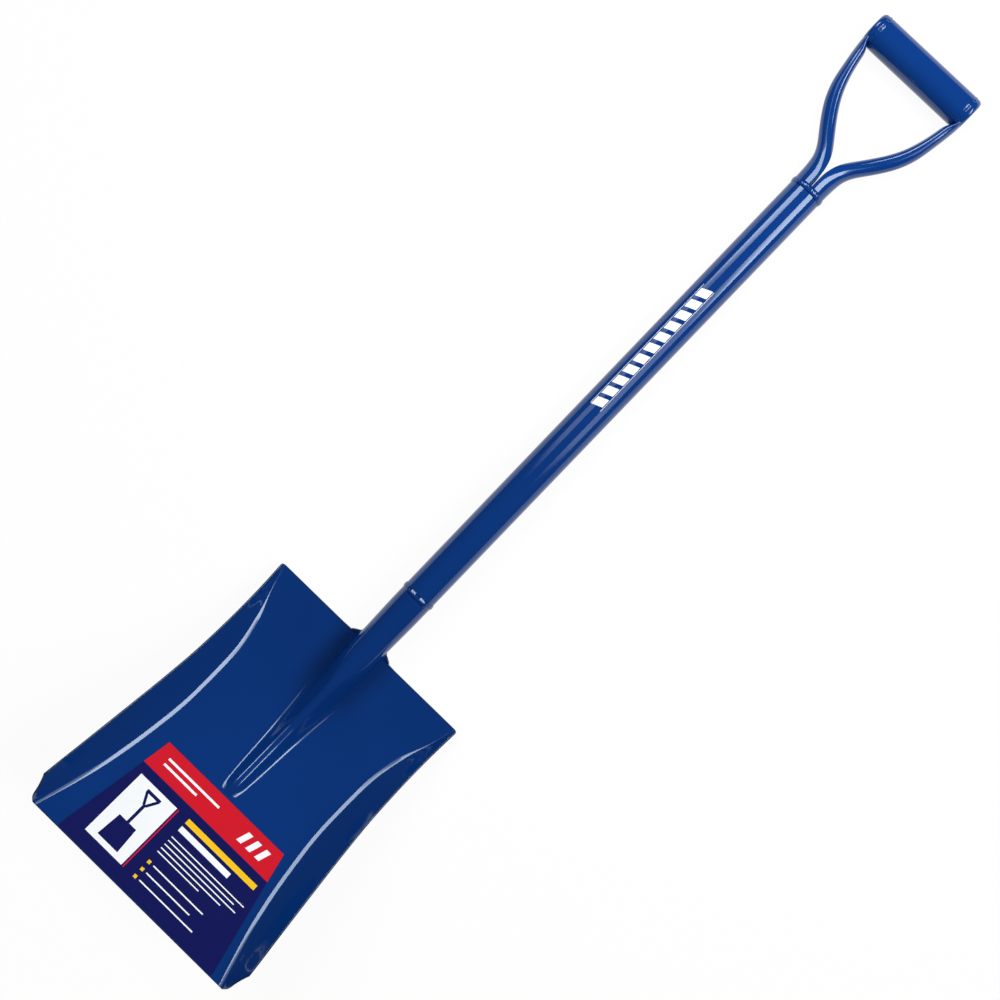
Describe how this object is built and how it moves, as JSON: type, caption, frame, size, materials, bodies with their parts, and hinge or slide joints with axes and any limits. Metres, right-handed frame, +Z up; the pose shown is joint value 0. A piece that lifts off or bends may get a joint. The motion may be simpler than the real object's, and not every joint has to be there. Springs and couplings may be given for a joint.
{
  "type": "square mouth shovel",
  "caption": "All-steel square mouth shovel with a folded-side blade, a straight tube shaft and a welded D handle.",
  "frame": {"origin": "middle of the bounding box in plan, on the floor that the shovel lies on", "axes": "+Y along the shaft from the mouth to the grip, +Z up with the shovel on its back and its dish open upward, +X to the right seen from above with the grip away"},
  "size_m": [0.2472, 1.0022, 0.1094],
  "materials": {
    "blade_enamel": "glossy dark blue enamel on pressed steel sheet",
    "tube_enamel": "glossy blue enamel on steel tube",
    "weld_enamel": "blue enamel over a rippled weld bead",
    "label_film": "printed plastic film, navy with a red band"
  },
  "bodies": {
    "root": {"blade": "blade_enamel", "socket_weld": "weld_enamel", "shaft_tube": "tube_enamel", "yoke_weld": "weld_enamel", "yoke_arm_right": "tube_enamel", "yoke_arm_left": "tube_enamel", "grip_tube": "tube_enamel", "grip_weld_right": "weld_enamel", "grip_weld_left": "weld_enamel", "blade_label": "label_film"}
  },
  "joints": []
}
